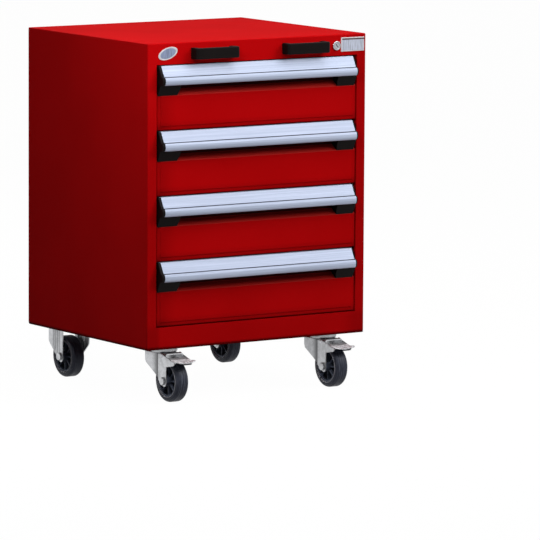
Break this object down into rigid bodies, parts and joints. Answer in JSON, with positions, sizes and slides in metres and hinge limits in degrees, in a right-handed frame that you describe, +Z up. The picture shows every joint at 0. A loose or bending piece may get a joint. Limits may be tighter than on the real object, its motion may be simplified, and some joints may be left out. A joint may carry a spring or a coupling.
{
  "type": "mobile drawer cabinet",
  "caption": "Steel drawer cabinet on casters: full-width drawers with aluminium handles on telescopic runners, lock, pull handles, braked swivel casters in front and rigid ones behind.",
  "frame": {"origin": "on the floor, under the middle of the whole cabinet's bounding box", "axes": "+Z up, -Y the side that the drawers open to, +X to the right as seen from the front"},
  "size_m": [0.6096, 0.577, 0.8412],
  "materials": {
    "red_paint": "semi-gloss powder coat, fine texture",
    "aluminium": "satin, fine lengthwise lines",
    "black_plastic": "moulded, fine grain",
    "zinc": "bright zinc plating, faint mottling",
    "chrome": "polished",
    "tyre_rubber": "dark slate rubber, faint turned lines",
    "hub_plastic": "moulded, dull"
  },
  "bodies": {
    "root": {"housing_shell": "red_paint", "back_panel": "red_paint", "base_pan": "red_paint", "caster_channel_front": "red_paint", "caster_channel_rear": "red_paint", "runner_rack_left": "zinc", "runner_rack_right": "zinc", "pull_handle_left": "black_plastic", "pull_handle_right": "black_plastic", "lock_barrel": "chrome", "caster_front_left_swivel_head": "zinc", "caster_front_right_swivel_head": "zinc", "caster_rear_left_bracket": "zinc", "caster_rear_left_axle": "zinc", "caster_rear_right_bracket": "zinc", "caster_rear_right_axle": "zinc"},
    "drawer_1": {"drawer_1_box": "red_paint", "drawer_1_front": "red_paint", "drawer_1_handle": "aluminium", "drawer_1_end_cap_left": "black_plastic", "drawer_1_end_cap_right": "black_plastic"},
    "drawer_1_carriage": {"drawer_1_carriage_left": "zinc", "drawer_1_carriage_right": "zinc"},
    "drawer_2": {"drawer_2_box": "red_paint", "drawer_2_front": "red_paint", "drawer_2_handle": "aluminium", "drawer_2_end_cap_left": "black_plastic", "drawer_2_end_cap_right": "black_plastic"},
    "drawer_2_carriage": {"drawer_2_carriage_left": "zinc", "drawer_2_carriage_right": "zinc"},
    "drawer_3": {"drawer_3_box": "red_paint", "drawer_3_front": "red_paint", "drawer_3_handle": "aluminium", "drawer_3_end_cap_left": "black_plastic", "drawer_3_end_cap_right": "black_plastic"},
    "drawer_3_carriage": {"drawer_3_carriage_left": "zinc", "drawer_3_carriage_right": "zinc"},
    "drawer_4": {"drawer_4_box": "red_paint", "drawer_4_front": "red_paint", "drawer_4_handle": "aluminium", "drawer_4_end_cap_left": "black_plastic", "drawer_4_end_cap_right": "black_plastic"},
    "drawer_4_carriage": {"drawer_4_carriage_left": "zinc", "drawer_4_carriage_right": "zinc"},
    "lock_plug": {"lock_plug": "chrome"},
    "lock_bar": {"lock_bar": "zinc"},
    "caster_front_left_fork": {"caster_front_left_fork": "zinc", "caster_front_left_axle": "zinc"},
    "caster_front_left_pedal": {"caster_front_left_brake_pedal": "zinc"},
    "caster_front_left_wheel": {"caster_front_left_hub": "hub_plastic", "caster_front_left_tyre": "tyre_rubber"},
    "caster_front_right_fork": {"caster_front_right_fork": "zinc", "caster_front_right_axle": "zinc"},
    "caster_front_right_pedal": {"caster_front_right_brake_pedal": "zinc"},
    "caster_front_right_wheel": {"caster_front_right_hub": "hub_plastic", "caster_front_right_tyre": "tyre_rubber"},
    "caster_rear_left_wheel": {"caster_rear_left_hub": "hub_plastic", "caster_rear_left_tyre": "tyre_rubber"},
    "caster_rear_right_wheel": {"caster_rear_right_hub": "hub_plastic", "caster_rear_right_tyre": "tyre_rubber"}
  },
  "joints": [
    {"name": "drawer_1_slide", "type": "slide", "parent": "root", "child": "drawer_1", "axis": [0, -1, 0], "range_m": [0, 0.45]},
    {"name": "drawer_1_carriage_slide", "type": "slide", "parent": "root", "child": "drawer_1_carriage", "axis": [0, -1, 0], "range_m": [0, 0.225]},
    {"name": "drawer_2_slide", "type": "slide", "parent": "root", "child": "drawer_2", "axis": [0, -1, 0], "range_m": [0, 0.45]},
    {"name": "drawer_2_carriage_slide", "type": "slide", "parent": "root", "child": "drawer_2_carriage", "axis": [0, -1, 0], "range_m": [0, 0.225]},
    {"name": "drawer_3_slide", "type": "slide", "parent": "root", "child": "drawer_3", "axis": [0, -1, 0], "range_m": [0, 0.45]},
    {"name": "drawer_3_carriage_slide", "type": "slide", "parent": "root", "child": "drawer_3_carriage", "axis": [0, -1, 0], "range_m": [0, 0.225]},
    {"name": "drawer_4_slide", "type": "slide", "parent": "root", "child": "drawer_4", "axis": [0, -1, 0], "range_m": [0, 0.45]},
    {"name": "drawer_4_carriage_slide", "type": "slide", "parent": "root", "child": "drawer_4_carriage", "axis": [0, -1, 0], "range_m": [0, 0.225]},
    {"name": "lock_turn", "type": "hinge", "parent": "root", "child": "lock_plug", "pos_m": [0.221, -0.24495, 0.8147], "axis": [0, -1, 0], "range_deg": [0, 90]},
    {"name": "lock_bar_lift", "type": "slide", "parent": "root", "child": "lock_bar", "axis": [0, 0, 1], "range_m": [0, 0.00707]},
    {"name": "caster_front_left_swivel", "type": "hinge", "parent": "root", "child": "caster_front_left_fork", "pos_m": [-0.2245, -0.19145, 0.12], "axis": [0, 0, 1], "continuous": true},
    {"name": "caster_front_left_brake", "type": "hinge", "parent": "caster_front_left_fork", "child": "caster_front_left_pedal", "pos_m": [-0.2245, -0.22145, 0.11], "axis": [1, 0, 0], "range_deg": [0, 8]},
    {"name": "caster_front_left_roll", "type": "hinge", "parent": "caster_front_left_fork", "child": "caster_front_left_wheel", "pos_m": [-0.2245, -0.22745, 0.05], "axis": [1, 0, 0], "continuous": true},
    {"name": "caster_front_right_swivel", "type": "hinge", "parent": "root", "child": "caster_front_right_fork", "pos_m": [0.2245, -0.19145, 0.12], "axis": [0, 0, 1], "continuous": true},
    {"name": "caster_front_right_brake", "type": "hinge", "parent": "caster_front_right_fork", "child": "caster_front_right_pedal", "pos_m": [0.2245, -0.22145, 0.11], "axis": [1, 0, 0], "range_deg": [0, 8]},
    {"name": "caster_front_right_roll", "type": "hinge", "parent": "caster_front_right_fork", "child": "caster_front_right_wheel", "pos_m": [0.2245, -0.22745, 0.05], "axis": [1, 0, 0], "continuous": true},
    {"name": "caster_rear_left_roll", "type": "hinge", "parent": "root", "child": "caster_rear_left_wheel", "pos_m": [-0.2245, 0.23495, 0.05], "axis": [1, 0, 0], "continuous": true},
    {"name": "caster_rear_right_roll", "type": "hinge", "parent": "root", "child": "caster_rear_right_wheel", "pos_m": [0.2245, 0.23495, 0.05], "axis": [1, 0, 0], "continuous": true}
  ],
  "couplings": [
    {"joint": "drawer_1_carriage_slide", "follows": "drawer_1_slide", "ratio": 0.5},
    {"joint": "drawer_2_carriage_slide", "follows": "drawer_2_slide", "ratio": 0.5},
    {"joint": "drawer_3_carriage_slide", "follows": "drawer_3_slide", "ratio": 0.5},
    {"joint": "drawer_4_carriage_slide", "follows": "drawer_4_slide", "ratio": 0.5},
    {"joint": "lock_turn", "follows": "lock_bar_lift", "rad_per_m": 222.14}
  ]
}
